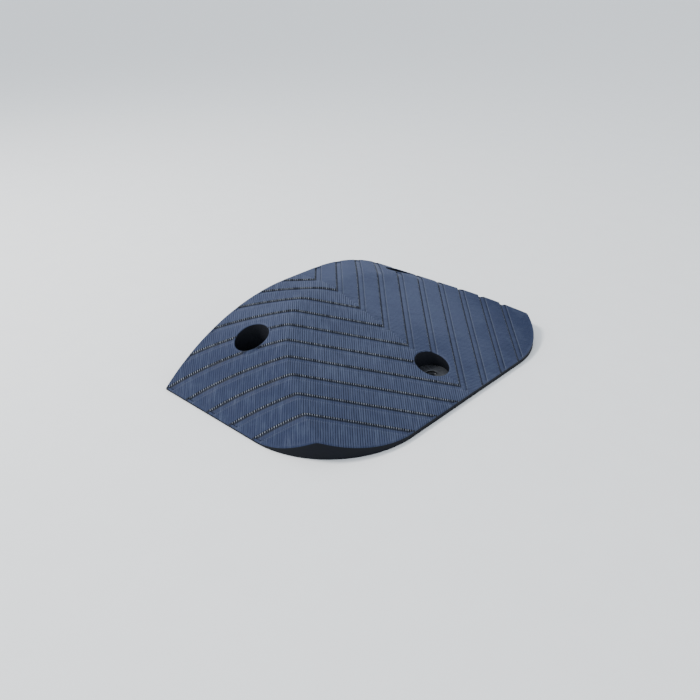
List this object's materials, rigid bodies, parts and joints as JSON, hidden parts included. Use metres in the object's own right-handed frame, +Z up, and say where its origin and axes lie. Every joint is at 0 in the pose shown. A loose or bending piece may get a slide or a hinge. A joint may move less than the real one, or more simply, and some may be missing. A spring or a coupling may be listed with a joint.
{
  "type": "rubber speed bump end cap",
  "caption": "Moulded rubber end cap of a modular speed bump, with V-shaped drainage grooves and counterbored bolt holes with steel seat washers.",
  "frame": {"origin": "centre of the underside's bounding rectangle, on the road surface", "axes": "+X from the joining face to the nose, +Y across the bump, +Z up"},
  "size_m": [0.25, 0.4, 0.072],
  "materials": {
    "rubber": "matte moulded black rubber with fine ribs, blue-grey in skylight",
    "steel": "dull zinc plate, dusty"
  },
  "bodies": {
    "root": {"rubber_body": "rubber", "seat_washer_nose": "steel", "seat_washer_left": "steel", "seat_washer_right": "steel", "spacer_sleeve_nose": "steel", "spacer_sleeve_left": "steel", "spacer_sleeve_right": "steel"}
  },
  "joints": []
}
